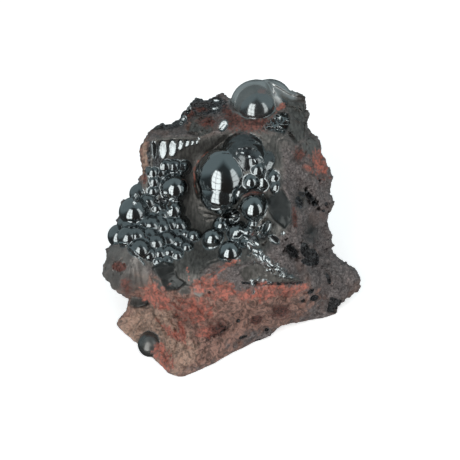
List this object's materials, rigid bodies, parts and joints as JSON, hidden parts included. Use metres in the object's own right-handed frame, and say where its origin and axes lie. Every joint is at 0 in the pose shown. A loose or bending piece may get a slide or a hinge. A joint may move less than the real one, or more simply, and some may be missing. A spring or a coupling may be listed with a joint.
{
  "type": "hematite specimen",
  "caption": "Broken block of hematite ore with glossy rounded growths in a hollow on its front, resting on a flat broken face.",
  "frame": {"origin": "a point on the flat rest face, under the middle of the front face", "axes": "-Z out of the rest face; the front with the hollow faces -Y and leans back, +X to its right"},
  "size_m": [0.1032, 0.0965, 0.0814],
  "materials": {
    "ore": "glossy black rounded growths in the hollow; dull purple-grey porous broken faces, with brown and red ochre earthy patches"
  },
  "bodies": {
    "root": {"hematite_specimen": "ore"}
  },
  "joints": []
}
